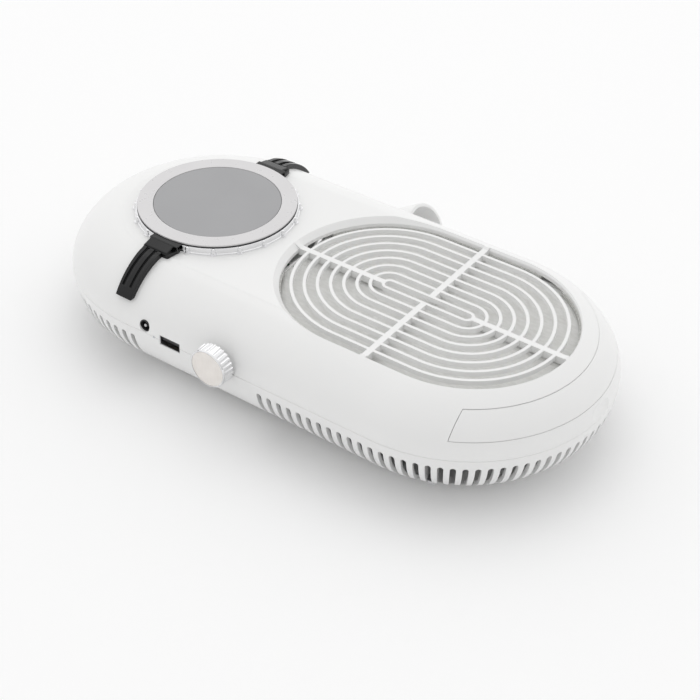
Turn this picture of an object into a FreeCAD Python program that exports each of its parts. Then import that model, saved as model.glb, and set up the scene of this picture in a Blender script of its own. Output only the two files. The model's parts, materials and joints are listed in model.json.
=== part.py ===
import FreeCAD, Part
import math
import os
from FreeCAD import Vector

# Nail dust collector: a stadium-shaped desktop casing with a fan under a grille at its right end,
# a round display at its left end, a slide-out filter drawer, a speed knob and a handpiece holder.
# Millimetres. +X runs along the casing towards the drawer, +Z is up, the front (ports, knob) is -Y.
# Shapes are built with the casing's own centre at x = y = 0 and are shifted along Y on export, so
# that the origin is under the centre of the whole object, knob and holder included.

UP = Vector(0, 0, 1)
ALONG = Vector(1, 0, 0)
FRONT = Vector(0, -1, 0)

# --- casing ---------------------------------------------------------------------------------------
LENGTH = 315.0
WIDTH = 160.0
OVERALL_HEIGHT = 70.0
END_R = WIDTH / 2
END_X = (LENGTH - WIDTH) / 2
WALL = 2.2
FOOT_HEIGHT = 5.0
PAN_Z = FOOT_HEIGHT
SEAM_Z = 37.0
BODY_TOP = 65.0
SHOULDER_INSET = 31.3
SHOULDER_POWER = 1.73
SHOULDER_STEPS = 12
UNDERSIDE_INSET = 30.0
SEAM_GROOVE = 0.3

# --- grille and filter drawer ---------------------------------------------------------------------
GRILLE_X = 56.9
GRILLE_HALF = 22.8
OPENING_R = 56.1
LIP_BEVEL = 2.9
RING_COUNT = 8
RING_R = 3.3
RING_PITCH = 6.68
BAR_WIDTH = 1.7
BAR_TOP = 62.7
BAR_DEPTH = 2.6
RIB_WIDTH = 3.3
RIB_DEPTH = 4.0
RIB_RAMP = 4.0
COLLAR_WALL = 1.8
COLLAR_BOTTOM = BAR_TOP - BAR_DEPTH
PANEL_X = 113.0
PANEL_BOTTOM = 46.3
PANEL_TOP = 58.0
PANEL_GAP = 0.25
TRAY_BOTTOM = 46.6
TRAY_TOP = 57.6
TRAY_HALF = 55.6
TRAY_X = -21.0
TRAY_WALL = 1.3
TRAY_FLOOR = 1.2
TRAY_END_R = 60.5
WINDOW_ROWS = 9
WINDOW_COLUMNS = 10
WINDOW_LONG = 12.2
WINDOW_WIDE = 10.0
WINDOW_BAR = 2.0
SLIDE_GAP = 0.3
PLEAT_PITCH = 2.0
PLEAT_DEPTH = 1.6
NOTCH_Z = 43.0
NOTCH_HALF = 5.0
NOTCH_R = 7.0
NOTCH_STANDOFF = 5.0

# --- vents in the lower casing --------------------------------------------------------------------
VENT_WIDTH = 2.9
VENT_TOP = 32.0
VENT_BOTTOM = 9.0
VENT_PITCH = 6.05
VENTS_PER_END = 42
VENTS_FRONT = 12
VENTS_BACK_RIGHT = 8
VENTS_BACK_LEFT = 6
VENT_REACH = 24.0

# --- display dial ---------------------------------------------------------------------------------
DIAL_X = -END_X
DIAL_TOP = OVERALL_HEIGHT
LENS_R = 34.2
FACE_INNER_R = 34.5
FACE_R = 43.0
FACE_THICK = 0.8
SEAL_R = 43.15
BEZEL_R = 43.9
BEZEL_TOP = 68.6
BEZEL_RIBS = 20
BEZEL_RIB_R = 1.2
CLIP_X = DIAL_X + 0.6
CLIP_LEFT = 8.2
CLIP_RIGHT = 10.0
CLIP_TAPER = 1.3
CLIP_PAD_HALF = 7.7
CLIP_OUTER = 52.5
CLIP_INNER_TOP = 69.2
CLIP_OUTER_TOP = 67.7
STRAP_X = DIAL_X - 0.6
STRAP_HALF = 5.9
STRAP_END_HALF = 5.0
STRAP_GROOVE = 2.3
STRAP_THICK = 2.2
STRAP_GAP = 0.15
STRAP_END_Z = 51.0

# --- knob and ports -------------------------------------------------------------------------------
KNOB_X = -14.0
KNOB_Z = 41.4
KNOB_BACK_Y = -81.2
KNOB_FACE_Y = -88.0
KNOB_R = 11.0
KNOB_FACE_R = 10.3
KNOB_FLUTES = 26
KNOB_RIM = 0.4
POT_SHAFT_R = 3.0
POT_FRONT_Y = -70.6
BUSHING_R = 3.6
SPOTFACE_Y = -77.9
SPOTFACE_R = 6.3
KNOB_SEAT_R = 7.0
RUNNING_GAP = 0.05
JACK_X = -62.5
JACK_Z = 40.8
JACK_R = 2.75
JACK_COLLAR_R = 3.3
USB_X = -45.6
USB_WIDE = 12.5
USB_TALL = 5.1
USB_SHEET = 0.35
LED_X = -56.0
LED_R = 0.7

# --- handpiece holder -----------------------------------------------------------------------------
HOLDER_R = 15.2
HOLDER_BORE_R = 13.1
HOLDER_LENGTH = 30.0
HOLDER_TILT = 31.0
HOLDER_MOUTH = Vector(-3.3, 94.0, 30.6)
HOLDER_SCREWS = [(-25.0, 31.0), (-7.5, 17.0)]
HOLDER_SCREW_R = 1.3
HOLDER_SEAT_Y = 66.0

# --- fan ------------------------------------------------------------------------------------------
FAN_SIZE = 92.0
FAN_TOP = 40.8
FAN_BOTTOM = 15.4
FAN_BORE_R = 43.0
FAN_HOLES = 41.25
HUB_R = 17.0
BLADES = 9
BLADE_PITCH = 38.0
ROTOR_Z = 29.0
SHAFT_R = 1.5
DECK_Z = 41.0
DECK_THICK = 2.0

BODY_Y = -(HOLDER_MOUTH.y + HOLDER_R + KNOB_FACE_Y - KNOB_RIM) / 2


# --- shape helpers --------------------------------------------------------------------------------
def box(x_low, x_high, y_low, y_high, z_low, z_high):
    return Part.makeBox(x_high - x_low, y_high - y_low, z_high - z_low, Vector(x_low, y_low, z_low))


def rod(radius, start, direction, length):
    return Part.makeCylinder(radius, length, start, direction)


def pipe(outer, inner, start, direction, length):
    return rod(outer, start, direction, length).cut(rod(inner, start, direction, length))


def post(radius, x, y, z_low, z_high):
    return rod(radius, Vector(x, y, z_low), UP, z_high - z_low)


def joined(shapes):
    return shapes[0].multiFuse(shapes[1:]).removeSplitter()


def group(shapes):
    return Part.makeCompound(shapes)


def mirror_y(shape):
    return shape.mirror(Vector(0, 0, 0), Vector(0, 1, 0))


def polygon_prism(points, direction):
    return Part.Face(Part.makePolygon(points + points[:1])).extrude(direction)


def stadium(radius, half, centre_x, z_low, z_high):
    """Upright prism whose outline is two straight sides joined by half circles."""
    left = centre_x - half
    right = centre_x + half
    front_left = Vector(left, -radius, z_low)
    front_right = Vector(right, -radius, z_low)
    back_left = Vector(left, radius, z_low)
    back_right = Vector(right, radius, z_low)
    edges = [
        Part.makeLine(front_left, front_right),
        Part.Arc(front_right, Vector(right + radius, 0, z_low), back_right).toShape(),
        Part.makeLine(back_right, back_left),
        Part.Arc(back_left, Vector(left - radius, 0, z_low), front_left).toShape(),
    ]
    return Part.Face(Part.Wire(edges)).extrude(Vector(0, 0, z_high - z_low))


def stadium_ring(outer, inner, half, centre_x, z_low, z_high):
    return stadium(outer, half, centre_x, z_low, z_high).cut(stadium(inner, half, centre_x, z_low, z_high))


def swept_round(edges, half=END_X, centre_x=0.0):
    """Carry a half section (drawn in the YZ plane, y = distance from the axis) round a stadium."""
    face = Part.Face(Part.Wire(edges))
    left_x = centre_x - half
    right_x = centre_x + half
    at_left = face.translated(Vector(left_x, 0, 0))
    at_right = face.translated(Vector(right_x, 0, 0))
    back = at_left.extrude(Vector(2 * half, 0, 0))
    left = at_left.revolve(Vector(left_x, 0, 0), UP, 180)
    right = at_right.revolve(Vector(right_x, 0, 0), UP, -180)
    return joined([left, right, back, mirror_y(back)])


def shoulder_curve(grow, start_z):
    """Rounded shoulder from the vertical side to the flat top, a little flatter than an ellipse."""
    height = BODY_TOP + grow - start_z
    points = []
    for step in range(SHOULDER_STEPS + 1):
        angle = math.pi / 2 * step / SHOULDER_STEPS
        out = abs(math.cos(angle)) ** (2 / SHOULDER_POWER) if step < SHOULDER_STEPS else 0.0
        rise = math.sin(angle) ** (2 / SHOULDER_POWER)
        points.append(Vector(0, END_R + grow - SHOULDER_INSET * (1 - out), start_z + height * rise))
    curve = Part.BSplineCurve()
    curve.interpolate(Points=points, InitialTangent=UP, FinalTangent=Vector(0, -1, 0))
    return curve.toShape(), points[0], points[-1]


def dome(grow, groove=0.0):
    """Solid of the casing above the seam, grown outwards by `grow`, with a chamfer at the seam."""
    curve, low, high = shoulder_curve(grow, SEAM_Z + groove)
    axis_top = Vector(0, 0, high.z)
    axis_base = Vector(0, 0, SEAM_Z)
    base = Vector(0, low.y - groove, SEAM_Z)
    edges = [curve, Part.makeLine(high, axis_top), Part.makeLine(axis_top, axis_base)]
    edges.append(Part.makeLine(axis_base, base))
    if groove:
        edges.append(Part.makeLine(base, low))
    return swept_round(edges)


def pan(grow, groove=0.0):
    """Solid of the casing below the seam, with its elliptical underside."""
    start_z = SEAM_Z - groove
    centre = Vector(0, END_R - UNDERSIDE_INSET, start_z)
    side = Vector(0, END_R + grow, start_z)
    bottom = Vector(0, centre.y, PAN_Z - grow)
    ellipse = Part.Ellipse(bottom, side, centre)
    curve = Part.ArcOfEllipse(ellipse, ellipse.parameter(bottom), ellipse.parameter(side)).toShape()
    axis_bottom = Vector(0, 0, bottom.z)
    axis_top = Vector(0, 0, SEAM_Z)
    rim = Vector(0, side.y - groove, SEAM_Z)
    edges = [curve, Part.makeLine(bottom, axis_bottom), Part.makeLine(axis_bottom, axis_top)]
    edges.append(Part.makeLine(axis_top, rim))
    if groove:
        edges.append(Part.makeLine(rim, side))
    return swept_round(edges)


OUTER_DOME = dome(0, SEAM_GROOVE)
INNER_DOME = dome(-WALL)
OUTER_PAN = pan(0, SEAM_GROOVE)
INNER_PAN = pan(-WALL)
FAR = 200.0


# --- screws and where they go ---------------------------------------------------------------------
CASING_SCREWS = [(x, side * y) for x, y in ((-130, 30), (22, 66), (103, 62.5)) for side in (-1, 1)]
FOOT_SPOTS = [(x, y) for x in (-105, 105) for y in (-30, 30)]
DECK_SPOTS = [(x, y) for x in (-16, 110) for y in (-40, 40)]
BOARD_SPOTS = [(x, y) for x in (-115, -62) for y in (-33, 33)]
FAN_SPOTS = [(GRILLE_X + x, y) for x in (-FAN_HOLES, FAN_HOLES) for y in (-FAN_HOLES, FAN_HOLES)]
DIAL_SPOTS = [(DIAL_X + x, y) for x in (-15.8, 15.8) for y in (-15.8, 15.8)]
BOSS_R = 4.0
BOSS_JOIN_Z = 24.0
CASING_SCREW_R = 1.3
CASING_HEAD_R = 2.9
CASING_HEAD_Z = PAN_Z + 9
DECK_POST_R = 3.5
BOARD_POST_R = 3.2
SMALL_SCREW_R = 1.2
SMALL_HEAD_R = 2.6
FOOT_R = 9.0
FOOT_ROUNDING = 1.5
HOLDER_BOSS_R = 4.0
BOARD_Z = 14.0
BOARD_THICK = 1.6
BOARD_TOP = BOARD_Z + BOARD_THICK
DIAL_HOLE_R = 31.0


def screw(x, y, head_z, head_r, head_height, shank_r, tip_z):
    """Pan-head screw: the head lies beyond head_z, the shank runs from head_z to tip_z."""
    points_down = tip_z < head_z
    direction = UP if points_down else -UP
    head = rod(head_r, Vector(x, y, head_z), direction, head_height)
    driver = head_z + (head_height if points_down else -head_height)
    slot = box(x - head_r * 0.7, x + head_r * 0.7, y - 0.4, y + 0.4, driver - 0.7, driver + 0.7)
    shank = post(shank_r, x, y, min(head_z, tip_z), max(head_z, tip_z))
    return joined([head, shank]).cut(slot)


# --- casing shells --------------------------------------------------------------------------------
def vent_cutter(x_centre, angle):
    """Round-topped slot cutter that points away from (x_centre, 0) at `angle` from +Y."""
    half = VENT_WIDTH / 2
    inner_y = END_R - VENT_REACH
    low_left = Vector(-half, inner_y, VENT_BOTTOM)
    low_right = Vector(half, inner_y, VENT_BOTTOM)
    top_right = Vector(half, inner_y, VENT_TOP - half)
    top_left = Vector(-half, inner_y, VENT_TOP - half)
    edges = [
        Part.makeLine(low_left, low_right),
        Part.makeLine(low_right, top_right),
        Part.Arc(top_right, Vector(0, inner_y, VENT_TOP), top_left).toShape(),
        Part.makeLine(top_left, low_left),
    ]
    cutter = Part.Face(Part.Wire(edges)).extrude(Vector(0, VENT_REACH + 2, 0))
    cutter.rotate(Vector(0, 0, 0), UP, angle)
    return cutter.translated(Vector(x_centre, 0, 0))


def vent_cutters():
    step = 180.0 / VENTS_PER_END
    right_end = [(END_X, -step * i) for i in range(VENTS_PER_END + 1)]
    left_end = [(-END_X, step * i) for i in range(VENTS_PER_END + 1)]
    front = [(END_X - VENT_PITCH * i, 180) for i in range(1, VENTS_FRONT)] + [(-END_X + VENT_PITCH, 180)]
    back = [(END_X - VENT_PITCH * i, 0) for i in range(1, VENTS_BACK_RIGHT + 1)]
    back += [(-END_X + VENT_PITCH * i, 0) for i in range(1, VENTS_BACK_LEFT + 1)]
    return [vent_cutter(x, angle) for x, angle in right_end + left_end + front + back]


def port_cutters():
    """Holes through the front wall for the jack, the pilot light, the socket and the knob."""
    wall_y = -END_R - 2
    depth = 9.0
    inward = Vector(0, 1, 0)
    socket_half = USB_WIDE / 2 + USB_SHEET
    socket_tall = USB_TALL / 2 + USB_SHEET
    return [
        rod(JACK_COLLAR_R, Vector(JACK_X, wall_y, JACK_Z), inward, depth),
        rod(LED_R, Vector(LED_X, wall_y, SEAM_Z), inward, depth),
        box(USB_X - socket_half, USB_X + socket_half, wall_y, wall_y + depth,
            SEAM_Z - socket_tall, SEAM_Z + socket_tall),
        on_knob_axis(BUSHING_R, wall_y, POT_FRONT_Y),
        on_knob_axis(SPOTFACE_R, wall_y, SPOTFACE_Y),
    ]


def grille_bars():
    bars = []
    for ring in range(RING_COUNT):
        radius = RING_R + RING_PITCH * ring
        bars.append(stadium_ring(radius + BAR_WIDTH / 2, radius - BAR_WIDTH / 2, GRILLE_HALF, GRILLE_X,
                                 BAR_TOP - BAR_DEPTH, BAR_TOP))
    return bars


def lip_bevel():
    """Cutter that slopes the casing's top down into the grille opening."""
    overlap = 1.0
    low = BODY_TOP - LIP_BEVEL
    high = BODY_TOP + overlap
    outline = [(OPENING_R - overlap, low), (OPENING_R, low), (OPENING_R + LIP_BEVEL + overlap, high),
               (OPENING_R - overlap, high)]
    points = [Vector(0, radius, z) for radius, z in outline]
    edges = [Part.makeLine(start, end) for start, end in zip(points, points[1:] + points[:1])]
    return swept_round(edges, GRILLE_HALF, GRILLE_X)


def rib_outline(start):
    """Side view of half a cross rib: level from `start`, then ramped up to meet the casing's top."""
    low = BAR_TOP - RIB_DEPTH
    rim = OPENING_R + LIP_BEVEL
    return [(start, low), (rim, low), (rim, BODY_TOP), (rim - RIB_RAMP, BAR_TOP), (start, BAR_TOP)]


def grille_ribs():
    """Cross ribs, from the opening's edge to the innermost ring."""
    half = RIB_WIDTH / 2
    ribs = []
    for side in (-1, 1):
        along = [Vector(GRILLE_X + side * (GRILLE_HALF + x), -half, z) for x, z in rib_outline(RING_R)]
        across = [Vector(GRILLE_X - half, side * y, z) for y, z in rib_outline(RING_R)]
        ribs.append(polygon_prism(along, Vector(0, RIB_WIDTH, 0)))
        ribs.append(polygon_prism(across, Vector(RIB_WIDTH, 0, 0)))
    return ribs


def notch_cutter():
    """Shallow round-ended scoop for a fingertip, just under the drawer front."""
    x = END_X + END_R + NOTCH_STANDOFF
    barrel = rod(NOTCH_R, Vector(x, NOTCH_HALF, NOTCH_Z), FRONT, 2 * NOTCH_HALF)
    ends = [Part.makeSphere(NOTCH_R, Vector(x, side * NOTCH_HALF, NOTCH_Z)) for side in (-1, 1)]
    return joined([barrel] + ends)


def upper_shell():
    collar = stadium_ring(OPENING_R + COLLAR_WALL, OPENING_R - 1, GRILLE_HALF, GRILLE_X,
                          COLLAR_BOTTOM, BODY_TOP)
    bosses = [post(BOSS_R, x, y, BOSS_JOIN_Z, BODY_TOP).common(dome(-WALL / 2).fuse(OUTER_PAN))
              for x, y in CASING_SCREWS]
    knob_seat = on_knob_axis(KNOB_SEAT_R, -END_R, POT_FRONT_Y)
    backing_half = NOTCH_HALF + NOTCH_R + WALL
    backing = box(END_X + END_R - 7, FAR, -backing_half, backing_half,
                  PANEL_BOTTOM - NOTCH_R - WALL, PANEL_BOTTOM)
    added = [piece.common(OUTER_DOME) for piece in (collar, knob_seat, backing)]
    shell = joined([OUTER_DOME.cut(INNER_DOME)] + added + bosses)
    opening = stadium(OPENING_R, GRILLE_HALF, GRILLE_X, COLLAR_BOTTOM - 5, FAR)
    tray_path = box(TRAY_X - 2, FAR, -TRAY_HALF - SLIDE_GAP, TRAY_HALF + SLIDE_GAP,
                    PANEL_BOTTOM, TRAY_TOP + SLIDE_GAP)
    panel_hole = box(PANEL_X, FAR, -FAR, FAR, PANEL_BOTTOM, PANEL_TOP)
    dial_hole = post(DIAL_HOLE_R, DIAL_X, 0, BODY_TOP - 5, FAR)
    pilots = [post(CASING_SCREW_R, x, y, BOSS_JOIN_Z - 1, BOSS_JOIN_Z + 14) for x, y in CASING_SCREWS]
    cutters = [opening, lip_bevel(), tray_path, panel_hole, notch_cutter(), dial_hole]
    shell = shell.cut(cutters + port_cutters() + pilots)
    bars = [piece.common(OUTER_DOME) for piece in grille_bars() + grille_ribs()]
    return joined([shell] + bars)


def lower_shell():
    inside = group([post(BOSS_R, x, y, PAN_Z + 1, BOSS_JOIN_Z) for x, y in CASING_SCREWS]
                   + [post(DECK_POST_R, x, y, PAN_Z + 1, DECK_Z) for x, y in DECK_SPOTS]
                   + [post(BOARD_POST_R, x, y, PAN_Z + 1, BOARD_Z) for x, y in BOARD_SPOTS]
                   + [rod(HOLDER_BOSS_R, Vector(x, HOLDER_SEAT_Y, z), -FRONT, END_R - HOLDER_SEAT_Y)
                      for x, z in HOLDER_SCREWS])
    shell = OUTER_PAN.cut(INNER_PAN)
    shell = joined([shell] + [solid.common(OUTER_PAN) for solid in inside.Solids])
    holes = [post(CASING_SCREW_R + 0.4, x, y, 0, BOSS_JOIN_Z + 1) for x, y in CASING_SCREWS]
    holes += [post(CASING_HEAD_R + 0.3, x, y, 0, CASING_HEAD_Z) for x, y in CASING_SCREWS]
    holes += [post(SMALL_SCREW_R, x, y, DECK_Z - 12, DECK_Z + 1) for x, y in DECK_SPOTS]
    holes += [post(SMALL_SCREW_R, x, y, PAN_Z + 2, BOARD_Z + 1) for x, y in BOARD_SPOTS]
    holes += [post(FOOT_R + 0.2, x, y, 0, PAN_Z + 1) for x, y in FOOT_SPOTS]
    holes += [rod(HOLDER_SCREW_R, Vector(x, 0, z), -FRONT, FAR) for x, z in HOLDER_SCREWS]
    return shell.cut(holes + port_cutters() + vent_cutters())


def casing_screws():
    return group([screw(x, y, CASING_HEAD_Z, CASING_HEAD_R, 2.0, CASING_SCREW_R, BOSS_JOIN_Z + 12)
                  for x, y in CASING_SCREWS])


def rubber_feet():
    """Round feet pressed into shallow seats, with a rounded lower rim."""
    feet = []
    for x, y in FOOT_SPOTS:
        foot = post(FOOT_R, x, y, 0, PAN_Z + 1)
        rim = [edge for edge in foot.Edges if abs(edge.BoundBox.ZMax) < 0.01]
        feet.append(foot.makeFillet(FOOT_ROUNDING, rim[:1]))
    return group(feet)


# --- filter drawer --------------------------------------------------------------------------------
def drawer_front():
    front = OUTER_DOME.cut(INNER_DOME)
    return front.common(box(PANEL_X + PANEL_GAP, FAR, -FAR, FAR,
                            PANEL_BOTTOM + PANEL_GAP, PANEL_TOP - PANEL_GAP))


def tray_outline(shrink, z_low, z_high):
    """Straight sides and back, with a rounded front that follows the end of the casing."""
    plan = box(TRAY_X + shrink, FAR, -TRAY_HALF + shrink, TRAY_HALF - shrink, z_low, z_high)
    return plan.common(dome(-WALL - shrink))


def filter_tray():
    tray = tray_outline(0, TRAY_BOTTOM, TRAY_TOP)
    tray = tray.cut(filter_space(TRAY_BOTTOM + TRAY_FLOOR, TRAY_TOP + 1))
    windows = []
    for row in range(WINDOW_ROWS):
        y = (row - WINDOW_ROWS / 2) * (WINDOW_WIDE + WINDOW_BAR) + WINDOW_BAR / 2
        for column in range(WINDOW_COLUMNS):
            x = TRAY_X + TRAY_WALL + WINDOW_BAR + column * (WINDOW_LONG + WINDOW_BAR)
            windows.append(box(x, x + WINDOW_LONG, y, y + WINDOW_WIDE,
                               TRAY_BOTTOM - 1, TRAY_BOTTOM + TRAY_FLOOR + 1))
    keep = filter_space(TRAY_BOTTOM - 2, TRAY_TOP)
    return tray.cut([window.common(keep) for window in windows])


def filter_space(z_low, z_high):
    """Room inside the tray's walls, rounded towards the drawer front."""
    room = stadium(TRAY_END_R, END_X, 0, z_low, z_high)
    half = TRAY_HALF - TRAY_WALL
    return room.common(box(TRAY_X + TRAY_WALL, FAR, -half, half, z_low, z_high))


def pleated_filter():
    """Filter pack with pleats along X: V grooves above and below."""
    top = TRAY_TOP - 0.2
    bottom = TRAY_BOTTOM + TRAY_FLOOR
    half = TRAY_HALF - TRAY_WALL - 0.2
    pleats = int(2 * half / PLEAT_PITCH)
    start = -pleats * PLEAT_PITCH / 2
    upper = []
    lower = []
    for pleat in range(pleats):
        y = start + pleat * PLEAT_PITCH
        upper += [Vector(0, y, top - PLEAT_DEPTH), Vector(0, y + PLEAT_PITCH / 2, top)]
        lower += [Vector(0, y, bottom), Vector(0, y + PLEAT_PITCH / 2, bottom + PLEAT_DEPTH)]
    end = start + pleats * PLEAT_PITCH
    upper.append(Vector(0, end, top - PLEAT_DEPTH))
    lower.append(Vector(0, end, bottom))
    x_low = TRAY_X + TRAY_WALL + 0.2
    outline = [Vector(x_low, point.y, point.z) for point in upper + lower[::-1]]
    pack = polygon_prism(outline, Vector(END_X + END_R - x_low, 0, 0))
    return pack.common(stadium(TRAY_END_R - 0.2, END_X, 0, bottom - 1, top + 1))


def filter_gasket():
    """Pale foam strip under the collar, with breaks at the left apex and at the far right."""
    strip = stadium_ring(OPENING_R + COLLAR_WALL, TRAY_HALF - 0.3, GRILLE_HALF, GRILLE_X,
                         TRAY_TOP + SLIDE_GAP, COLLAR_BOTTOM).common(INNER_DOME)
    left_x = GRILLE_X - GRILLE_HALF
    right_x = GRILLE_X + GRILLE_HALF
    left_break = box(left_x - FAR, left_x - 51, -FAR, FAR, 0, FAR)
    far_break = box(right_x + 11, right_x + 26, 0, FAR, 0, FAR)
    return strip.cut([left_break, far_break] + grille_ribs())


def drawer_rails():
    """L-shaped runners on the deck: a foot under the tray's edge and a fence beside it."""
    rails = []
    for side in (-1, 1):
        outer = side * (TRAY_HALF + SLIDE_GAP + 1.6)
        fence = side * (TRAY_HALF + SLIDE_GAP)
        foot = side * (TRAY_HALF - 5)
        x_low, x_high = TRAY_X + 1, 98
        runner_top = TRAY_BOTTOM - SLIDE_GAP
        runner = box(x_low, x_high, min(foot, outer), max(foot, outer), DECK_Z + DECK_THICK, runner_top)
        wall = box(x_low, x_high, min(fence, outer), max(fence, outer), runner_top, TRAY_BOTTOM + 5)
        rails.append(joined([runner, wall]))
    return group(rails)


def drawer_catch():
    """Stop plate behind the tray, with a sprung nose that holds the drawer shut."""
    top = DECK_Z + DECK_THICK
    outline = [(-26, top), (-22.2, top), (-22.2, top + 2), (-23.4, top + 2), (-23.4, 52), (-21.4, 53.5),
               (-23.4, 55), (-24.4, 55), (-24.4, top + 2), (-26, top + 2)]
    points = [Vector(x, -7, z) for x, z in outline]
    return polygon_prism(points, Vector(0, 14, 0))


# --- fan deck and fan -----------------------------------------------------------------------------
def fan_deck():
    plate = stadium(66.0, END_X, 0, DECK_Z, DECK_Z + DECK_THICK).common(box(-30, 122, -57.6, 57.6, 0, FAR))
    holes = [post(FAN_BORE_R, GRILLE_X, 0, 0, FAR)]
    holes += [post(1.9, x, y, 0, FAR) for x, y in FAN_SPOTS]
    holes += [post(1.4, x, y, 0, FAR) for x, y in DECK_SPOTS]
    return plate.cut(holes)


def deck_screws():
    top = DECK_Z + DECK_THICK
    return group([screw(x, y, top, SMALL_HEAD_R, 1.6, SMALL_SCREW_R, DECK_Z - 8) for x, y in DECK_SPOTS])


def fan_frame():
    half = FAN_SIZE / 2
    frame = box(GRILLE_X - half, GRILLE_X + half, -half, half, FAN_BOTTOM, FAN_TOP)
    holes = [post(FAN_BORE_R, GRILLE_X, 0, FAN_BOTTOM - 1, FAN_TOP + 1)]
    holes += [post(1.9, x, y, FAN_BOTTOM - 1, FAN_TOP + 1) for x, y in FAN_SPOTS]
    waist = pipe(FAN_SIZE, FAN_BORE_R + 2, Vector(GRILLE_X, 0, FAN_BOTTOM + 4), UP, FAN_TOP - FAN_BOTTOM - 8)
    corners = [post(6.0, x, y, 0, FAR) for x, y in FAN_SPOTS]
    frame = frame.cut(holes).cut(waist.cut(corners))
    struts = []
    for angle in (20, 110, 200, 290):
        strut = box(HUB_R - 2, FAN_BORE_R + 1, -1.6, 1.6, FAN_BOTTOM, FAN_BOTTOM + 3)
        strut.rotate(Vector(0, 0, 0), UP, angle)
        struts.append(strut.translated(Vector(GRILLE_X, 0, 0)))
    mount = post(HUB_R, GRILLE_X, 0, FAN_BOTTOM, FAN_BOTTOM + 2)
    tower = pipe(4.2, 3.0, Vector(GRILLE_X, 0, FAN_BOTTOM + 1), UP, 16)
    return joined([frame, mount, tower] + struts)


def fan_blade(angle):
    """Curved blade of even thickness, pitched between the hub and the tip."""
    half_chord = 8.5
    thick = 1.2
    rise = 2.2
    root = HUB_R - 1
    lower = Part.Arc(Vector(root, -half_chord, 0), Vector(root, 0, rise), Vector(root, half_chord, 0))
    upper = Part.Arc(Vector(root, half_chord, thick), Vector(root, 0, rise + thick),
                     Vector(root, -half_chord, thick))
    ends = [Part.makeLine(lower.EndPoint, upper.StartPoint), Part.makeLine(upper.EndPoint, lower.StartPoint)]
    blade = Part.Face(Part.Wire([lower.toShape(), ends[0], upper.toShape(), ends[1]]))
    blade = blade.extrude(Vector(FAN_BORE_R - HUB_R + 3, 0, 0))
    blade.rotate(Vector(0, 0, 0), ALONG, BLADE_PITCH)
    blade.rotate(Vector(0, 0, 0), UP, angle)
    return blade.translated(Vector(GRILLE_X, 0, ROTOR_Z))


def fan_rotor():
    cup = post(HUB_R, GRILLE_X, 0, 19.5, 38).cut(post(HUB_R - 1.4, GRILLE_X, 0, 19, 36.5))
    limits = post(FAN_BORE_R - 1.0, GRILLE_X, 0, 19.5, 38.5).cut(post(HUB_R - 0.5, GRILLE_X, 0, 0, FAR))
    blades = [fan_blade(360 / BLADES * i).common(limits) for i in range(BLADES)]
    return joined([cup] + blades).cut(post(SHAFT_R, GRILLE_X, 0, 0, FAR))


def fan_shaft():
    return post(SHAFT_R, GRILLE_X, 0, FAN_BOTTOM + 2.4, 37.9)


def fan_magnet():
    return pipe(HUB_R - 1.4, HUB_R - 2.4, Vector(GRILLE_X, 0, 22), UP, 12)


def fan_bearings():
    bearings = []
    for z in (FAN_BOTTOM + 4, FAN_BOTTOM + 13):
        bearings.append(pipe(3.0, SHAFT_R + RUNNING_GAP, Vector(GRILLE_X, 0, z), UP, 3.5))
    return group(bearings)


def fan_stator():
    core = pipe(6.5, 4.2, Vector(GRILLE_X, 0, 22), UP, 9)
    teeth = []
    for angle in (0, 90, 180, 270):
        tooth = box(5.5, 13, -2, 2, 23, 30).fuse(box(12, 14, -5.5, 5.5, 23, 30))
        tooth.rotate(Vector(0, 0, 0), UP, angle)
        teeth.append(tooth.translated(Vector(GRILLE_X, 0, 0)))
    return joined([core] + teeth).common(post(13.8, GRILLE_X, 0, 0, FAR))


def fan_windings():
    coils = []
    for angle in (0, 90, 180, 270):
        coil = box(7.2, 11.6, -3.4, 3.4, 21.6, 31.4).cut(box(7, 12, -2, 2, 23, 30))
        coil.rotate(Vector(0, 0, 0), UP, angle)
        coils.append(coil.translated(Vector(GRILLE_X, 0, 0)))
    return group(coils)


def fan_board():
    return pipe(13.5, 4.2, Vector(GRILLE_X, 0, FAN_BOTTOM + 2), UP, 1.2)


def fan_guard():
    wire = 0.8
    top = DECK_Z + DECK_THICK + wire
    parts = []
    for radius in (12, 20, 28, 36, 44.5):
        parts.append(Part.makeTorus(radius, wire, Vector(GRILLE_X, 0, top), UP))
    reach = FAN_HOLES * math.sqrt(2)
    for angle in (45, 135, 225, 315):
        spoke = box(12, reach - 2.6, -wire, wire, top - wire, top + 0.6)
        loop = pipe(3.4, 2.0, Vector(reach, 0, top - wire), UP, 1.4)
        arm = joined([spoke, loop])
        arm.rotate(Vector(0, 0, 0), UP, angle)
        parts.append(arm.translated(Vector(GRILLE_X, 0, 0)))
    return joined(parts)


def fan_screws():
    return group([screw(x, y, DECK_Z + DECK_THICK + 1.4, 3.2, 1.4, 1.7, FAN_TOP - 16) for x, y in FAN_SPOTS])


# --- display dial ---------------------------------------------------------------------------------
def bezel_rib_spots():
    reach = BEZEL_R - 0.15
    turns = [2 * math.pi / BEZEL_RIBS * index for index in range(BEZEL_RIBS)]
    return [(DIAL_X + math.cos(turn) * reach, math.sin(turn) * reach) for turn in turns]


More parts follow.
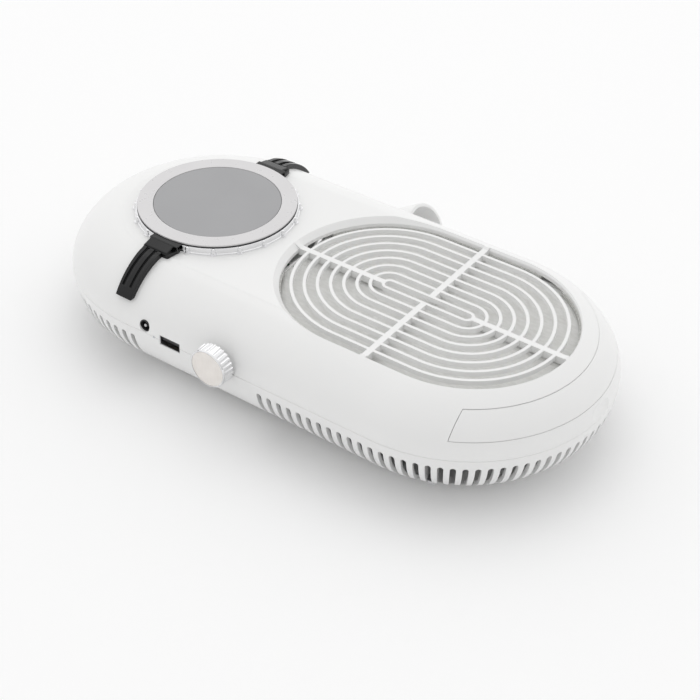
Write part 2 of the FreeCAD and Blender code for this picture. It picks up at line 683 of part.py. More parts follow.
def dial_bezel():
    """Chromed ring round the dial: a low wall with small domed ribs on wider feet."""
    centre = Vector(DIAL_X, 0, 0)
    outline = [(LENS_R + 4, BODY_TOP), (BEZEL_R + 0.5, BODY_TOP), (BEZEL_R + 0.5, BODY_TOP + 0.4),
               (BEZEL_R, BODY_TOP + 0.8), (BEZEL_R, BEZEL_TOP - 0.3), (BEZEL_R - 0.3, BEZEL_TOP),
               (LENS_R + 4, BEZEL_TOP)]
    points = [centre + Vector(0, radius, z) for radius, z in outline]
    ring = Part.Face(Part.makePolygon(points + points[:1])).revolve(centre, UP, 360)
    dome_z = BEZEL_TOP - BEZEL_RIB_R + 0.1
    ribs = []
    for x, y in bezel_rib_spots():
        stem = post(BEZEL_RIB_R, x, y, BODY_TOP, dome_z)
        cap = Part.makeSphere(BEZEL_RIB_R, Vector(x, y, dome_z))
        pad = post(BEZEL_RIB_R + 0.8, x, y, BODY_TOP, BODY_TOP + 0.6)
        ribs.append(joined([stem, cap, pad]))
    return joined([ring] + ribs)


def dial_seal():
    """Black ring between the chromed bezel and the face ring; it shows as a dark line."""
    return pipe(SEAL_R, LENS_R + 4, Vector(DIAL_X, 0, BEZEL_TOP), UP, DIAL_TOP - FACE_THICK - BEZEL_TOP)


def dial_face_ring():
    ring = pipe(FACE_R, FACE_INNER_R, Vector(DIAL_X, 0, DIAL_TOP - FACE_THICK), UP, FACE_THICK)
    rims = [edge for edge in ring.Edges if edge.Curve.TypeId == "Part::GeomCircle"
            and edge.BoundBox.ZMin > DIAL_TOP - 0.01]
    return ring.makeChamfer(0.15, rims)


def display_lens():
    return post(LENS_R, DIAL_X, 0, DIAL_TOP - 1.8, DIAL_TOP - 0.2)


def dial_base():
    """Dish under the dial: it closes the hole in the casing and carries the display board."""
    dish = post(LENS_R + 4, DIAL_X, 0, BODY_TOP, DIAL_TOP - FACE_THICK)
    dish = dish.fuse(post(30.8, DIAL_X, 0, BODY_TOP - 7, BODY_TOP + 0.1))
    dish = dish.cut(post(29.3, DIAL_X, 0, BODY_TOP - 5.8, DIAL_TOP - 1.8))
    pillars = [post(3.0, x, y, BODY_TOP - 6, BODY_TOP - 3) for x, y in DIAL_SPOTS]
    dish = joined([dish] + pillars)
    holes = [post(1.1, x, y, BODY_TOP - 6.5, BODY_TOP) for x, y in DIAL_SPOTS]
    lens_seat = post(FACE_INNER_R, DIAL_X, 0, DIAL_TOP - 1.8, FAR)
    cable_slot = box(DIAL_X - 9, DIAL_X + 9, -27, -22, BODY_TOP - 8, BODY_TOP - 5)
    return dish.cut(holes + [lens_seat, cable_slot])


def display_board():
    board = post(28.5, DIAL_X, 0, BODY_TOP - 3, BODY_TOP - 1.4)
    return board.cut([post(1.2, x, y, 0, FAR) for x, y in DIAL_SPOTS])


def display_panel():
    return box(DIAL_X - 18, DIAL_X + 18, -12, 12, BODY_TOP - 1.4, DIAL_TOP - 2.2)


def display_screws():
    return group([screw(x, y, BODY_TOP - 1.4, 2.0, 1.2, 1.0, BODY_TOP - 5.5)
                  for x, y in DIAL_SPOTS])


# --- clips beside the dial ------------------------------------------------------------------------
def clip_block():
    """Front clip: a base hooked over the bezel's rim, and a rounded pad that slopes outwards."""
    hook_y = -BEZEL_R - 1.6
    base_top = CLIP_OUTER_TOP - 0.7
    left = CLIP_X - CLIP_LEFT
    right = CLIP_X + CLIP_RIGHT
    corners = [(right, 0), (right, hook_y), (right - CLIP_TAPER, -CLIP_OUTER), (left, -CLIP_OUTER), (left, 0)]
    plan = [Vector(x, y, SEAM_Z) for x, y in corners]
    base = polygon_prism(plan, Vector(0, 0, base_top - SEAM_Z))
    outer_corners = [edge for edge in base.Edges if edge.BoundBox.ZLength > 2 and edge.BoundBox.YMax < -50]
    base = base.makeFillet(1.6, outer_corners)
    hook = box(left, right, hook_y - 1, 0, BEZEL_TOP + 0.2, CLIP_INNER_TOP)
    riser = box(left, right, hook_y - 1, hook_y - 0.1, base_top - 1, CLIP_INNER_TOP)
    pad_inner = hook_y + 0.6
    side_view = [Vector(CLIP_X - CLIP_PAD_HALF, pad_inner, BEZEL_TOP - 0.6),
                 Vector(CLIP_X - CLIP_PAD_HALF, pad_inner, CLIP_INNER_TOP + 0.3),
                 Vector(CLIP_X - CLIP_PAD_HALF, 0.4 - CLIP_OUTER, CLIP_OUTER_TOP),
                 Vector(CLIP_X - CLIP_PAD_HALF, 0.4 - CLIP_OUTER, base_top - 0.5),
                 Vector(CLIP_X - CLIP_PAD_HALF, hook_y - 0.5, base_top - 0.5)]
    pad = polygon_prism(side_view, Vector(2 * CLIP_PAD_HALF, 0, 0))
    upper = [edge for edge in pad.Edges if edge.BoundBox.ZMin > CLIP_OUTER_TOP - 0.01]
    pad = pad.makeFillet(0.7, upper)
    clear_of_ring = post(FACE_R + 0.4, DIAL_X, 0, 0, FAR)
    clear_of_bezel = post(BEZEL_R + 1.4, DIAL_X, 0, 0, BEZEL_TOP + 0.2)
    near_ribs = [post(BEZEL_RIB_R + 1.1, x, y, 0, BEZEL_TOP + 0.2) for x, y in bezel_rib_spots()
                 if left - 4 < x < right + 4]
    return joined([base, hook, riser, pad]).cut([clear_of_ring, clear_of_bezel, dome(STRAP_GAP)] + near_ribs)


def clip_strap():
    """Front strap: follows the shoulder, narrows downwards, with a middle rib between two grooves."""
    start_y = -CLIP_OUTER
    crest = STRAP_GAP + STRAP_THICK
    plan = polygon_prism([Vector(STRAP_X - STRAP_HALF, start_y, STRAP_END_Z),
                          Vector(STRAP_X + STRAP_HALF, start_y, STRAP_END_Z),
                          Vector(STRAP_X + STRAP_END_HALF, -END_R, STRAP_END_Z),
                          Vector(STRAP_X - STRAP_END_HALF, -END_R, STRAP_END_Z)],
                         Vector(0, 0, FAR))
    strap = dome(crest).cut(dome(STRAP_GAP)).common(plan)
    outside = dome(crest + 1).cut(dome(crest - 0.8))
    grooves = []
    for x in (STRAP_X - 1.3 - STRAP_GROOVE, STRAP_X + 1.3):
        grooves.append(outside.common(box(x, x + STRAP_GROOVE, -73.5, start_y, SEAM_Z, FAR)))
    return strap.cut(grooves)


# --- speed knob and potentiometer -----------------------------------------------------------------
def on_knob_axis(radius, y_low, y_high):
    return rod(radius, Vector(KNOB_X, y_high, KNOB_Z), FRONT, y_high - y_low)


def speed_knob():
    """Chromed knob: a short fluted barrel that narrows towards the face, with a hollow back."""
    barrel_length = KNOB_BACK_Y - KNOB_FACE_Y - 0.4
    shoulder_r = KNOB_FACE_R + 0.3
    barrel = Part.makeCone(KNOB_R, shoulder_r, barrel_length, Vector(KNOB_X, KNOB_BACK_Y, KNOB_Z), FRONT)
    shoulder = Part.makeCone(shoulder_r, KNOB_FACE_R, KNOB_RIM + 0.4,
                             Vector(KNOB_X, KNOB_FACE_Y + 0.4, KNOB_Z), FRONT)
    cutters = []
    for index in range(KNOB_FLUTES):
        angle = 2 * math.pi / KNOB_FLUTES * index
        centre = Vector(KNOB_X + math.cos(angle) * (KNOB_R + 0.3), KNOB_BACK_Y + 1,
                        KNOB_Z + math.sin(angle) * (KNOB_R + 0.3))
        cutters.append(rod(0.95, centre, FRONT, 1 + barrel_length))
    hollow = on_knob_axis(7.0, KNOB_BACK_Y - 3.5, KNOB_BACK_Y + 1)
    bore = on_knob_axis(POT_SHAFT_R, KNOB_FACE_Y + 1.5, KNOB_BACK_Y)
    face_seat = on_knob_axis(KNOB_FACE_R - 0.4, KNOB_FACE_Y - 2, KNOB_FACE_Y)
    return joined([barrel, shoulder]).cut(cutters + [hollow, bore, face_seat])


def knob_cap():
    return on_knob_axis(KNOB_FACE_R - 0.6, KNOB_FACE_Y - 0.3, KNOB_FACE_Y)


def potentiometer_shaft():
    return on_knob_axis(POT_SHAFT_R, KNOB_FACE_Y + 1.5, POT_FRONT_Y + 3)


def potentiometer_body():
    body = on_knob_axis(8.5, POT_FRONT_Y, POT_FRONT_Y + 7).fuse(on_knob_axis(BUSHING_R, -82.6, POT_FRONT_Y))
    tabs = [box(KNOB_X + x - 0.9, KNOB_X + x + 0.9, -66.3, -65.9, KNOB_Z - 13, KNOB_Z - 7.5)
            for x in (-4, 0, 4)]
    return joined([body] + tabs).cut(on_knob_axis(POT_SHAFT_R + RUNNING_GAP, -FAR, POT_FRONT_Y + 3))


def potentiometer_washer():
    return on_knob_axis(5.8, SPOTFACE_Y - 0.5, SPOTFACE_Y).cut(on_knob_axis(BUSHING_R, -FAR, 0))


def potentiometer_nut():
    flats = 5.2
    turns = [math.pi / 3 * side for side in range(6)]
    corners = [Vector(KNOB_X + flats * math.cos(turn), SPOTFACE_Y - 0.5, KNOB_Z + flats * math.sin(turn))
               for turn in turns]
    return polygon_prism(corners, Vector(0, -2.0, 0)).cut(on_knob_axis(BUSHING_R, -FAR, 0))


# --- ports and boards -----------------------------------------------------------------------------
def dc_jack():
    collar = rod(JACK_COLLAR_R, Vector(JACK_X, -74.0, JACK_Z), FRONT, 5.0)
    housing = box(JACK_X - 4.5, JACK_X + 4.5, -74.4, -68.4, JACK_Z - 4.6, JACK_Z + 4.6)
    return joined([collar, housing]).cut(rod(JACK_R, Vector(JACK_X, -70.6, JACK_Z), FRONT, 12))


def dc_jack_pin():
    pin = rod(1.0, Vector(JACK_X, -70.6, JACK_Z), FRONT, 7.6)
    tip = Part.makeSphere(1.0, Vector(JACK_X, -78.2, JACK_Z))
    return joined([pin, tip])


def usb_socket():
    half = USB_WIDE / 2
    tall = USB_TALL / 2
    case = box(USB_X - half - USB_SHEET, USB_X + half + USB_SHEET, -79.6, -68.4,
               SEAM_Z - tall - USB_SHEET, SEAM_Z + tall + USB_SHEET)
    return case.cut(box(USB_X - half, USB_X + half, -FAR, -68.8, SEAM_Z - tall, SEAM_Z + tall))


def usb_tongue():
    top = SEAM_Z + 1.9
    half = USB_WIDE / 2
    tall = USB_TALL / 2
    block = box(USB_X - half, USB_X + half, -71.8, -68.8, SEAM_Z - tall, SEAM_Z + tall)
    return joined([block, box(USB_X - 5.6, USB_X + 5.6, -78.8, -71.8, top - 1.9, top)])


def usb_contacts():
    return group([box(USB_X + x - 0.5, USB_X + x + 0.5, -78.2, -72.0, SEAM_Z - 0.3, SEAM_Z)
                  for x in (-3.5, -1.0, 1.0, 3.5)])


def led_light_pipe():
    return rod(LED_R, Vector(LED_X, -72.0, SEAM_Z), FRONT, 8.1)


def port_board():
    return box(JACK_X - 7, USB_X + 9, -68.4, -66.8, 28, 46)


def main_board():
    board = box(-121, -48, -38, 38, BOARD_Z, BOARD_Z + BOARD_THICK)
    return board.cut([post(1.4, x, y, 0, FAR) for x, y in BOARD_SPOTS])


def board_screws():
    return group([screw(x, y, BOARD_TOP, SMALL_HEAD_R, 1.6, SMALL_SCREW_R, PAN_Z + 3)
                  for x, y in BOARD_SPOTS])


def board_capacitors():
    sizes = [(-110, 5.0, 16), (-98, 5.0, 16), (-86, 4.0, 12)]
    return group([post(radius, x, -22, BOARD_TOP, BOARD_TOP + height) for x, radius, height in sizes])


def board_heatsink():
    base = box(-120, -96, 4, 24, BOARD_TOP, BOARD_TOP + 2.5)
    fins = [box(-120, -96, 4 + 3.5 * i, 5.2 + 3.5 * i, BOARD_TOP + 2, BOARD_TOP + 14) for i in range(6)]
    return joined([base] + fins)


def board_chips():
    height = 1.6
    corners = [(-84, 2, 10), (-84, 20, 6), (-92, -6, 6)]
    return group([box(x, x + side, y, y + side, BOARD_TOP, BOARD_TOP + height) for x, y, side in corners])


def board_coil():
    return pipe(8.5, 4.0, Vector(-72, -20, BOARD_TOP), UP, 8)


def board_sockets():
    return group([box(-58, -51, y - 5, y + 5, BOARD_TOP, BOARD_TOP + 6) for y in (-24, 0, 24)])


def wire_path(points, bend):
    """Straight runs through the points, joined by tangent arcs of radius `bend`."""
    edges = []
    start = points[0]
    for before, corner, after in zip(points, points[1:], points[2:]):
        back = (before - corner).normalize()
        ahead = (after - corner).normalize()
        turn = math.pi - back.getAngle(ahead)
        trim = bend * math.tan(turn / 2)
        first = corner + back * trim
        last = corner + ahead * trim
        middle = corner + (back + ahead).normalize() * (bend / math.cos(turn / 2) - bend)
        edges.append(Part.makeLine(start, first))
        edges.append(Part.Arc(first, middle, last).toShape())
        start = last
    edges.append(Part.makeLine(start, points[-1]))
    return Part.Wire(edges)


def lead(points, radius, bend):
    path = wire_path(points, bend)
    ring = Part.Wire(Part.makeCircle(radius, points[0], points[1] - points[0]))
    return path.makePipeShell([ring], True, True)


def fan_lead():
    z = BOARD_TOP + 3.0
    return lead([Vector(-51, 24, z), Vector(-28, 24, z), Vector(-12, 24, 11), Vector(1, 24, 11),
                 Vector(6, 24, 24), Vector(GRILLE_X - 39, 24, 24)], 1.4, 4)


def knob_lead():
    z = BOARD_TOP + 3.0
    return lead([Vector(-51, -24, z), Vector(-36, -24, z), Vector(-20, -46, z), Vector(KNOB_X, -62, 20),
                 Vector(KNOB_X, -66.1, KNOB_Z - 13.2)], 1.2, 6)


def port_lead():
    z = BOARD_TOP + 3.0
    return lead([Vector(-51, 0, z), Vector(-38, 0, z), Vector(-38, -40, z), Vector(USB_X + 2, -52, 33),
                 Vector(USB_X + 2, -66.7, 33)], 1.2, 5)


def display_ribbon():
    """Flat cable that drops from the display board's slot and folds over to the main board."""
    thick = 0.4
    points = [(-24.6, BODY_TOP - 3), (-24.6, 34), (-8, 22), (-8, BOARD_TOP)]
    offset = [(y + thick, z) for y, z in points]
    offset[2] = (-8 + thick, 22 + thick * 0.6)
    outline = [Vector(DIAL_X - 7, y, z) for y, z in points + offset[::-1]]
    return polygon_prism(outline, Vector(14, 0, 0))


# --- handpiece holder -----------------------------------------------------------------------------
def holder_direction():
    tilt = math.radians(HOLDER_TILT)
    return Vector(math.cos(tilt), 0, math.sin(tilt))


def handpiece_holder():
    """Open sloping tube with a rounded mouth, moulded in one with the foot that fits the casing."""
    direction = holder_direction()
    start = HOLDER_MOUTH - direction * HOLDER_LENGTH
    tube = rod(HOLDER_R, start, direction, HOLDER_LENGTH)
    mouth = [edge for edge in tube.Edges if edge.Curve.TypeId == "Part::GeomCircle"
             and (edge.Curve.Center - HOLDER_MOUTH).Length < 0.01]
    tube = tube.makeFillet(0.8, mouth)
    foot = box(-30, -2, END_R - 14, HOLDER_MOUTH.y - 7, 13, 36)
    foot = foot.cut(rod(HOLDER_R - 0.5, start - direction * 20, direction, 80))
    pilots = [rod(HOLDER_SCREW_R, Vector(x, END_R - 20, z), -FRONT, 22) for x, z in HOLDER_SCREWS]
    bore = rod(HOLDER_BORE_R, start - direction * 20, direction, 80)
    return joined([tube, foot]).cut([bore, OUTER_PAN, OUTER_DOME] + pilots)


def holder_screws():
    """Screws driven outwards from inside the lower shell."""
    screws = []
    for x, z in HOLDER_SCREWS:
        head = rod(2.8, Vector(x, HOLDER_SEAT_Y, z), FRONT, 1.8)
        shank = rod(HOLDER_SCREW_R, Vector(x, HOLDER_SEAT_Y, z), -FRONT, 16)
        screws.append(joined([head, shank]))
    return group(screws)


def front_and_back(make):
    front = make()
    return front, mirror_y(front)


NODES = {
    "upper_shell": upper_shell(),
    "lower_shell": lower_shell(),
    "casing_screws": casing_screws(),
    "rubber_feet": rubber_feet(),
    "filter_drawer_front": drawer_front(),
    "filter_tray": filter_tray(),
    "pleated_filter": pleated_filter(),
    "filter_gasket": filter_gasket(),
    "drawer_rails": drawer_rails(),
    "drawer_catch": drawer_catch(),
    "fan_deck": fan_deck(),
    "deck_screws": deck_screws(),
    "fan_frame": fan_frame(),
    "fan_rotor": fan_rotor(),
    "fan_shaft": fan_shaft(),
    "fan_magnet": fan_magnet(),
    "fan_bearings": fan_bearings(),
    "fan_stator": fan_stator(),
    "fan_windings": fan_windings(),
    "fan_board": fan_board(),
    "fan_guard": fan_guard(),
    "fan_screws": fan_screws(),
    "dial_bezel": dial_bezel(),
    "dial_seal": dial_seal(),
    "dial_face_ring": dial_face_ring(),
    "display_lens": display_lens(),
    "dial_base": dial_base(),
    "display_panel": display_panel(),
    "display_board": display_board(),
    "display_screws": display_screws(),
    "speed_knob": speed_knob(),
    "knob_cap": knob_cap(),
    "potentiometer_shaft": potentiometer_shaft(),
    "potentiometer_body": potentiometer_body(),
    "potentiometer_washer": potentiometer_washer(),
    "potentiometer_nut": potentiometer_nut(),
    "dc_jack": dc_jack(),
    "dc_jack_pin": dc_jack_pin(),
    "usb_socket": usb_socket(),
    "usb_tongue": usb_tongue(),
    "usb_contacts": usb_contacts(),
    "led_light_pipe": led_light_pipe(),
    "port_board": port_board(),
    "main_board": main_board(),
    "board_screws": board_screws(),
    "board_capacitors": board_capacitors(),
    "board_heatsink": board_heatsink(),
    "board_chips": board_chips(),
    "board_coil": board_coil(),
    "board_sockets": board_sockets(),
    "fan_lead": fan_lead(),
    "knob_lead": knob_lead(),
    "port_lead": port_lead(),
    "display_ribbon": display_ribbon(),
    "handpiece_holder": handpiece_holder(),
    "holder_screws": holder_screws(),
}
NODES["front_clip_block"], NODES["back_clip_block"] = front_and_back(clip_block)
NODES["front_clip_strap"], NODES["back_clip_strap"] = front_and_back(clip_strap)

os.makedirs("parts", exist_ok=True)
for name, shape in NODES.items():
    shape.translated(Vector(0, BODY_Y, 0)).exportStep(f"parts/{name}.step")
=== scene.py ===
import json
import math

import bpy
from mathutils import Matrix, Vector


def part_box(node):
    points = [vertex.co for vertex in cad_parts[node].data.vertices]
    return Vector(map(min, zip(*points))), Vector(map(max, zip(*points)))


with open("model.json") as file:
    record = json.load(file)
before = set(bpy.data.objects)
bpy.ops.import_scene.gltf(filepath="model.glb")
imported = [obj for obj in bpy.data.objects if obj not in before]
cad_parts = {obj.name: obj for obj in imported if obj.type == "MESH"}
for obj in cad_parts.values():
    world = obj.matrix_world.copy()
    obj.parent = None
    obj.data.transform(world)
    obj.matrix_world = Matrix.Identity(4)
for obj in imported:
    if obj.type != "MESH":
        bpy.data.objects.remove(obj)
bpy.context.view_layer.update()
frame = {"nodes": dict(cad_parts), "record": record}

NODES = frame["nodes"]
MM = 0.001
PAN_LOW, PAN_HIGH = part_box("lower_shell")
CASE_Y = (PAN_LOW.y + PAN_HIGH.y) / 2

# --- camera -----------------------------------------------------------------------------------------
CAMERA_AZIMUTH = math.radians(36.5)
CAMERA_ELEVATION = math.radians(38.14)
CAMERA_DISTANCE = 827.27 * MM
CAMERA_TARGET = Vector((-0.9 * MM, CASE_Y - 27.78 * MM, 19.01 * MM))
CAMERA_LENS = 81.51
CAMERA_SHIFT = (0.0692, 0.0053)
SENSOR_WIDTH = 36.0


def place_camera():
    """Camera on a sphere round the target, looking down at the front right of the casing."""
    data = bpy.data.cameras.new("camera")
    data.lens = CAMERA_LENS
    data.sensor_width = SENSOR_WIDTH
    data.shift_x, data.shift_y = CAMERA_SHIFT
    camera = bpy.data.objects.new("camera", data)
    flat = math.cos(CAMERA_ELEVATION)
    back = Vector((
        math.sin(CAMERA_AZIMUTH) * flat,
        -math.cos(CAMERA_AZIMUTH) * flat,
        math.sin(CAMERA_ELEVATION),
    ))
    camera.location = CAMERA_TARGET + back * CAMERA_DISTANCE
    camera.rotation_mode = "QUATERNION"
    camera.rotation_quaternion = (-back).to_track_quat("-Z", "Y")
    bpy.context.scene.collection.objects.link(camera)
    bpy.context.scene.camera = camera


# --- materials --------------------------------------------------------------------------------------
IOR = 1.5
COAT_ROUGHNESS = 0.05
PATTERN_LOW = 0.3
PATTERN_HIGH = 0.7
BEVEL_SAMPLES = 6


def shader(name, colour, roughness, metallic=0.0, coat=0.0):
    """New material whose Principled shader has these values on its own sockets."""
    material = bpy.data.materials.new(name)
    material.use_nodes = True
    principled = material.node_tree.nodes["Principled BSDF"]
    principled.inputs["Base Color"].default_value = (*colour, 1.0)
    principled.inputs["Roughness"].default_value = roughness
    principled.inputs["Metallic"].default_value = metallic
    principled.inputs["Coat Weight"].default_value = coat
    principled.inputs["Coat Roughness"].default_value = COAT_ROUGHNESS
    principled.inputs["IOR"].default_value = IOR
    return material


def coordinates(material, scale=(1.0, 1.0, 1.0)):
    """Object coordinates in metres, stretched by `scale`."""
    nodes, links = material.node_tree.nodes, material.node_tree.links
    source = nodes.new("ShaderNodeTexCoord")
    mapping = nodes.new("ShaderNodeMapping")
    mapping.inputs["Scale"].default_value = scale
    links.new(source.outputs["Object"], mapping.inputs["Vector"])
    return mapping.outputs["Vector"]


def noise(material, per_metre, detail=4.0, stretch=(1.0, 1.0, 1.0)):
    """Cloudy pattern with about `per_metre` patches in a metre."""
    nodes, links = material.node_tree.nodes, material.node_tree.links
    texture = nodes.new("ShaderNodeTexNoise")
    texture.inputs["Scale"].default_value = per_metre
    texture.inputs["Detail"].default_value = detail
    links.new(coordinates(material, stretch), texture.inputs["Vector"])
    return texture.outputs["Fac"]


def cells(material, per_metre):
    """Cell pattern: 0 in the middle of each cell, brighter towards its border."""
    nodes, links = material.node_tree.nodes, material.node_tree.links
    texture = nodes.new("ShaderNodeTexVoronoi")
    texture.inputs["Scale"].default_value = per_metre
    links.new(coordinates(material), texture.inputs["Vector"])
    return texture.outputs["Distance"]


def stretched(material, value, low, high, new_low, new_high):
    """Map `value` from low..high to new_low..new_high."""
    nodes, links = material.node_tree.nodes, material.node_tree.links
    node = nodes.new("ShaderNodeMapRange")
    node.inputs["From Min"].default_value = low
    node.inputs["From Max"].default_value = high
    node.inputs["To Min"].default_value = new_low
    node.inputs["To Max"].default_value = new_high
    links.new(value, node.inputs["Value"])
    return node.outputs["Result"]


def vary_roughness(material, value, low, high):
    """Roughness runs from `low` to `high` over the middle of the pattern's range."""
    nodes, links = material.node_tree.nodes, material.node_tree.links
    roughness = stretched(material, value, PATTERN_LOW, PATTERN_HIGH, low, high)
    links.new(roughness, nodes["Principled BSDF"].inputs["Roughness"])


def vary_colour(material, value, first, second):
    """Colour runs from `first` to `second` over the middle of the pattern's range."""
    nodes, links = material.node_tree.nodes, material.node_tree.links
    ramp = nodes.new("ShaderNodeValToRGB")
    ramp.color_ramp.elements[0].position = PATTERN_LOW
    ramp.color_ramp.elements[0].color = (*first, 1.0)
    ramp.color_ramp.elements[1].position = PATTERN_HIGH
    ramp.color_ramp.elements[1].color = (*second, 1.0)
    links.new(value, ramp.inputs["Fac"])
    links.new(ramp.outputs["Color"], nodes["Principled BSDF"].inputs["Base Color"])


def add_bump(material, value, distance):
    """Bump of `distance` metres; a second call adds to the first."""
    nodes, links = material.node_tree.nodes, material.node_tree.links
    bump = nodes.new("ShaderNodeBump")
    bump.inputs["Distance"].default_value = distance
    bump.inputs["Strength"].default_value = 1.0
    links.new(value, bump.inputs["Height"])
    normal = nodes["Principled BSDF"].inputs["Normal"]
    if normal.is_linked:
        links.new(normal.links[0].from_socket, bump.inputs["Normal"])
    links.new(bump.outputs["Normal"], normal)


def soften_edges(material, radius):
    """Shade sharp edges as if they had this radius, in metres."""
    nodes, links = material.node_tree.nodes, material.node_tree.links
    bevel = nodes.new("ShaderNodeBevel")
    bevel.samples = BEVEL_SAMPLES
    bevel.inputs["Radius"].default_value = radius
    links.new(bevel.outputs["Normal"], nodes["Principled BSDF"].inputs["Normal"])


def moulded(name, colour, roughness, coat=0.0, grain=0.0, shade=0.985, edge=0.0):
    """Injection-moulded plastic: faint flow mottling, uneven gloss, soft edges and a fine grain."""
    material = shader(name, colour, roughness, coat=coat)
    if edge:
        soften_edges(material, edge)
    darker = tuple(channel * shade for channel in colour)
    flow_marks = noise(material, 22.0, 3.0)
    gloss_patches = noise(material, 90.0, 5.0)
    sink_waves = noise(material, 38.0, 1.0)
    vary_colour(material, flow_marks, darker, colour)
    vary_roughness(material, gloss_patches, roughness * 0.88, roughness * 1.15)
    add_bump(material, sink_waves, 0.008 * MM)
    if grain:
        add_bump(material, noise(material, 4200.0, 3.0), grain)
    return material


def metal(name, colour, roughness, lines=(1.0, 1.0, 1.0), depth=0.004 * MM):
    """Bare or plated metal with uneven polish and fine lines along the axis whose stretch is low."""
    material = shader(name, colour, roughness, metallic=1.0)
    soften_edges(material, 0.15 * MM)
    duller = tuple(channel * 0.93 for channel in colour)
    vary_colour(material, noise(material, 140.0, 4.0), duller, colour)
    vary_roughness(material, noise(material, 900.0, 6.0, lines), roughness * 0.7, roughness * 1.4)
    add_bump(material, noise(material, 1500.0, 4.0, lines), depth)
    return material


def filter_paper():
    """White filter paper: matt, with fibres and slack waves that run along the pleats."""
    material = shader("filter_paper", (0.92, 0.92, 0.9), 0.9)
    clumps = noise(material, 620.0, 6.0, (0.35, 1.0, 1.0))
    fibres = noise(material, 2400.0, 6.0, (0.4, 1.0, 1.0))
    slack_waves = noise(material, 160.0, 2.0, (0.3, 1.0, 1.0))
    vary_colour(material, clumps, (0.86, 0.86, 0.84), (0.96, 0.96, 0.95))
    add_bump(material, fibres, 0.12 * MM)
    add_bump(material, slack_waves, 0.3 * MM)
    return material


def silver_lacquer():
    """Pale silver lacquer under a thin clear coat."""
    material = shader("silver_face", (0.68, 0.67, 0.675), 0.3, metallic=0.2, coat=0.25)
    vary_colour(material, noise(material, 60.0, 2.0), (0.67, 0.66, 0.665), (0.69, 0.68, 0.685))
    vary_roughness(material, noise(material, 240.0, 3.0), 0.26, 0.35)
    add_bump(material, noise(material, 120.0, 1.0), 0.005 * MM)
    return material


def cover_lens():
    """Smoked cover with the switched-off display behind it; fine smears break up its gloss."""
    material = shader("cover_lens", (0.34, 0.34, 0.348), 0.16, coat=0.25)
    vary_colour(material, noise(material, 30.0, 2.0), (0.334, 0.334, 0.342), (0.35, 0.35, 0.358))
    vary_roughness(material, noise(material, 350.0, 5.0), 0.13, 0.2)
    add_bump(material, noise(material, 90.0, 2.0), 0.006 * MM)
    return material


def gloss_black():
    """Polished black plastic, a little less reflective than the other plastics."""
    material = moulded("black_gloss", (0.004, 0.004, 0.0045), 0.15, shade=0.7, edge=0.5 * MM)
    principled = material.node_tree.nodes["Principled BSDF"]
    principled.inputs["Specular IOR Level"].default_value = 0.42
    return material


def foam():
    """Open foam strip with pore holes a little under a millimetre wide; painted shade darkens the
    middle of each pore.
    """
    material = shader("pale_foam", (0.6, 0.6, 0.58), 0.95)
    pore_relief_and_shade = cells(material, 1500.0)
    # Painted shade: the colour is darkest in the middle of each pore cell, where the hole is; the
    # same cell pattern also gives the relief bump.
    vary_colour(material, pore_relief_and_shade, (0.4, 0.4, 0.38), (0.66, 0.66, 0.64))
    add_bump(material, pore_relief_and_shade, 0.2 * MM)
    return material


def circuit_board():
    """Green solder mask over patches of copper."""
    material = shader("circuit_board", (0.02, 0.16, 0.08), 0.35, coat=0.3)
    copper_patches = cells(material, 420.0)
    vary_colour(material, copper_patches, (0.012, 0.11, 0.055), (0.03, 0.2, 0.1))
    add_bump(material, copper_patches, 0.03 * MM)
    return material


MATERIALS = {
    "white_shell": moulded("white_shell", (0.88, 0.88, 0.874), 0.32, coat=0.2, edge=0.3 * MM),
    "white_inner": moulded("white_inner", (0.88, 0.88, 0.87), 0.5, grain=0.02 * MM),
    "filter_paper": filter_paper(),
    "pale_foam": foam(),
    "foot_rubber": moulded("foot_rubber", (0.26, 0.26, 0.265), 0.75, grain=0.05 * MM, shade=0.9),
    "black_gloss": gloss_black(),
    "chrome_trim": metal("chrome_trim", (0.88, 0.88, 0.89), 0.06),
    "silver_face": silver_lacquer(),
    "smoked_lens": cover_lens(),
    "pearl_cap": metal("pearl_cap", (0.86, 0.825, 0.79), 0.4, (1.0, 1.0, 0.1), 0.002 * MM),
    "steel": metal("steel", (0.62, 0.62, 0.63), 0.32, (0.15, 1.0, 1.0)),
    "black_plastic": moulded("black_plastic", (0.02, 0.02, 0.022), 0.5, grain=0.04 * MM, shade=0.8),
    "circuit_board": circuit_board(),
    "copper": metal("copper", (0.72, 0.33, 0.16), 0.3, (1.0, 1.0, 0.2)),
    "aluminium": metal("aluminium", (0.72, 0.72, 0.73), 0.34, (0.15, 1.0, 1.0)),
    "lead_sheath": moulded("lead_sheath", (0.03, 0.03, 0.03), 0.55, grain=0.03 * MM, shade=0.8),
    "bronze": metal("bronze", (0.55, 0.38, 0.18), 0.4),
    "clear_plastic": moulded("clear_plastic", (0.6, 0.62, 0.64), 0.12, coat=0.3),
    "magnet": moulded("magnet", (0.05, 0.05, 0.05), 0.6, grain=0.05 * MM, shade=0.8),
}
SLOT_OF = {part["node"]: part["material_slot"] for part in frame["record"]["subparts"]}


def dress_nodes():
    """Give every CAD node the material that its slot in the record names."""
    for name, node in NODES.items():
        node.data.materials.clear()
        node.data.materials.append(MATERIALS[SLOT_OF[name]])


# --- stage ------------------------------------------------------------------------------------------
FLOOR_REACH = 6.0
WORLD_STRENGTH = 0.87
TENT_AXIS = (-0.35, 0.55, 0.76)
TENT_EDGE = 0.9
TENT_LOW = 0.55
TENT_HIGH = 1.2
KEY_PLACE = (-0.5, 0.7, 1.9)
KEY_AIM = (0, 0, 0.03)
KEY_SIZE = 1.6
KEY_POWER = 2.6


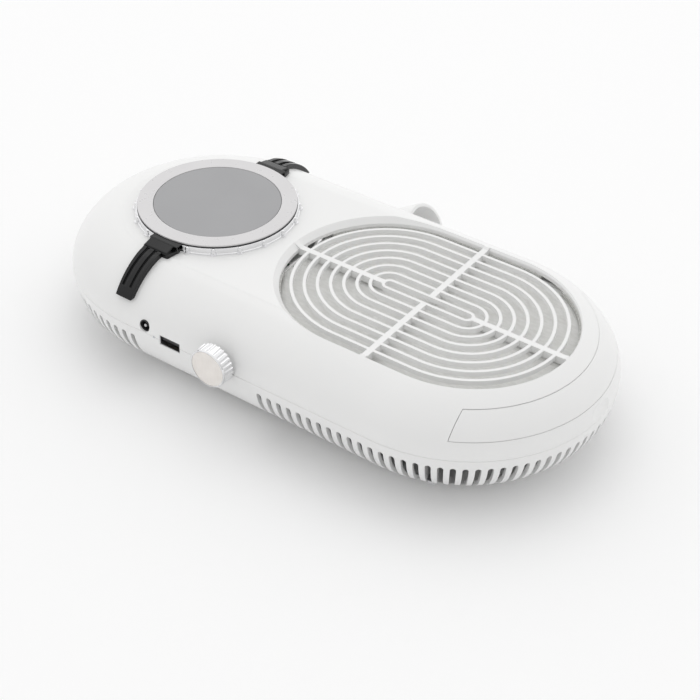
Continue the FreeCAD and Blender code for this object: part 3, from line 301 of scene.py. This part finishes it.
def add_floor():
    """Plain pale floor under the feet."""
    mesh = bpy.data.meshes.new("floor")
    corners = [(-FLOOR_REACH, -FLOOR_REACH, 0), (FLOOR_REACH, -FLOOR_REACH, 0),
               (FLOOR_REACH, FLOOR_REACH, 0), (-FLOOR_REACH, FLOOR_REACH, 0)]
    mesh.from_pydata(corners, [], [(0, 1, 2, 3)])
    floor = bpy.data.objects.new("floor", mesh)
    bpy.context.scene.collection.objects.link(floor)
    mesh.materials.append(shader("floor", (0.98, 0.98, 0.98), 0.9))


def add_key_light():
    """One wide, weak disk behind and above, for soft highlights."""
    data = bpy.data.lights.new("key", "AREA")
    data.shape = "DISK"
    data.size = KEY_SIZE
    data.energy = KEY_POWER
    lamp = bpy.data.objects.new("key", data)
    lamp.location = KEY_PLACE
    lamp.rotation_mode = "QUATERNION"
    lamp.rotation_quaternion = (Vector(KEY_AIM) - Vector(KEY_PLACE)).to_track_quat("-Z", "Y")
    bpy.context.scene.collection.objects.link(lamp)


def shade_world(tree):
    """White tent, brightest along TENT_AXIS and dimmest on the opposite side."""
    background = tree.nodes["Background"]
    background.inputs["Strength"].default_value = WORLD_STRENGTH
    source = tree.nodes.new("ShaderNodeTexCoord")
    along_axis = tree.nodes.new("ShaderNodeVectorMath")
    along_axis.operation = "DOT_PRODUCT"
    along_axis.inputs[1].default_value = TENT_AXIS
    tree.links.new(source.outputs["Generated"], along_axis.inputs[0])
    ramp = tree.nodes.new("ShaderNodeMapRange")
    ramp.interpolation_type = "SMOOTHSTEP"
    ramp.inputs["From Min"].default_value = -TENT_EDGE
    ramp.inputs["From Max"].default_value = TENT_EDGE
    ramp.inputs["To Min"].default_value = TENT_LOW
    ramp.inputs["To Max"].default_value = TENT_HIGH
    tree.links.new(along_axis.outputs["Value"], ramp.inputs["Value"])
    tree.links.new(ramp.outputs["Result"], background.inputs["Color"])


def light_scene():
    """Soft studio: the tent all round and one key light."""
    world = bpy.data.worlds.new("studio")
    world.use_nodes = True
    shade_world(world.node_tree)
    bpy.context.scene.world = world
    bpy.context.scene.view_settings.view_transform = "Standard"
    add_key_light()


place_camera()
add_floor()
light_scene()
dress_nodes()
